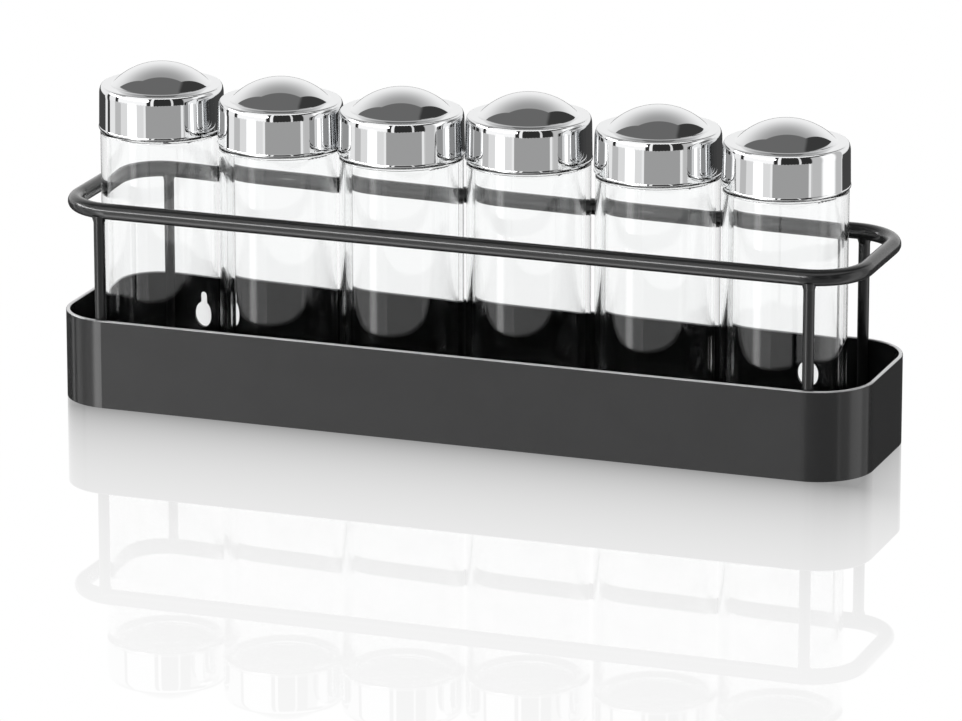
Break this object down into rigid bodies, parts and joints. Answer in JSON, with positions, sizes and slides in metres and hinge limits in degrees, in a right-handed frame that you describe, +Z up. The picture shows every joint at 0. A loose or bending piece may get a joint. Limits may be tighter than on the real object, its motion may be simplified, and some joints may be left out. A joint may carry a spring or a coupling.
{
  "type": "spice rack",
  "caption": "Long narrow sheet-steel tray with rounded corners and a round-rod guard rail on posts, holding a row of loose cylindrical glass jars with domed metal lids.",
  "frame": {"origin": "under the middle of the tray, on the surface that the tray stands on", "axes": "+X along the row of jars, +Y towards the back wall with its keyholes, +Z up"},
  "size_m": [0.312, 0.075, 0.1235],
  "materials": {
    "powder_coat": "matt black powder coat on steel",
    "clear_glass": "clear polished",
    "chrome_lid": "mirror-bright",
    "insert_plastic": "natural moulded plastic",
    "seal_foam": "soft closed-cell foam"
  },
  "bodies": {
    "rack": {"tray_wall": "powder_coat", "tray_floor": "powder_coat", "guard_rail": "powder_coat", "post_front_left": "powder_coat", "post_front_right": "powder_coat", "post_back_left": "powder_coat", "post_back_right": "powder_coat"},
    "jar_1": {"jar_glass_1": "clear_glass"},
    "lid_1": {"lid_shell_1": "chrome_lid", "lid_insert_1": "insert_plastic", "lid_seal_1": "seal_foam"},
    "jar_2": {"jar_glass_2": "clear_glass"},
    "lid_2": {"lid_shell_2": "chrome_lid", "lid_insert_2": "insert_plastic", "lid_seal_2": "seal_foam"},
    "jar_3": {"jar_glass_3": "clear_glass"},
    "lid_3": {"lid_shell_3": "chrome_lid", "lid_insert_3": "insert_plastic", "lid_seal_3": "seal_foam"},
    "jar_4": {"jar_glass_4": "clear_glass"},
    "lid_4": {"lid_shell_4": "chrome_lid", "lid_insert_4": "insert_plastic", "lid_seal_4": "seal_foam"},
    "jar_5": {"jar_glass_5": "clear_glass"},
    "lid_5": {"lid_shell_5": "chrome_lid", "lid_insert_5": "insert_plastic", "lid_seal_5": "seal_foam"},
    "jar_6": {"jar_glass_6": "clear_glass"},
    "lid_6": {"lid_shell_6": "chrome_lid", "lid_insert_6": "insert_plastic", "lid_seal_6": "seal_foam"}
  },
  "joints": [
    {"name": "jar_1_lift", "type": "slide", "parent": "rack", "child": "jar_1", "axis": [0, 0, 1], "range_m": [0, 0.125]},
    {"name": "lid_1_lift", "type": "slide", "parent": "jar_1", "child": "lid_1", "axis": [0, 0, 1], "range_m": [0, 0.03]},
    {"name": "jar_2_lift", "type": "slide", "parent": "rack", "child": "jar_2", "axis": [0, 0, 1], "range_m": [0, 0.125]},
    {"name": "lid_2_lift", "type": "slide", "parent": "jar_2", "child": "lid_2", "axis": [0, 0, 1], "range_m": [0, 0.03]},
    {"name": "jar_3_lift", "type": "slide", "parent": "rack", "child": "jar_3", "axis": [0, 0, 1], "range_m": [0, 0.125]},
    {"name": "lid_3_lift", "type": "slide", "parent": "jar_3", "child": "lid_3", "axis": [0, 0, 1], "range_m": [0, 0.03]},
    {"name": "jar_4_lift", "type": "slide", "parent": "rack", "child": "jar_4", "axis": [0, 0, 1], "range_m": [0, 0.125]},
    {"name": "lid_4_lift", "type": "slide", "parent": "jar_4", "child": "lid_4", "axis": [0, 0, 1], "range_m": [0, 0.03]},
    {"name": "jar_5_lift", "type": "slide", "parent": "rack", "child": "jar_5", "axis": [0, 0, 1], "range_m": [0, 0.125]},
    {"name": "lid_5_lift", "type": "slide", "parent": "jar_5", "child": "lid_5", "axis": [0, 0, 1], "range_m": [0, 0.03]},
    {"name": "jar_6_lift", "type": "slide", "parent": "rack", "child": "jar_6", "axis": [0, 0, 1], "range_m": [0, 0.125]},
    {"name": "lid_6_lift", "type": "slide", "parent": "jar_6", "child": "lid_6", "axis": [0, 0, 1], "range_m": [0, 0.03]}
  ]
}
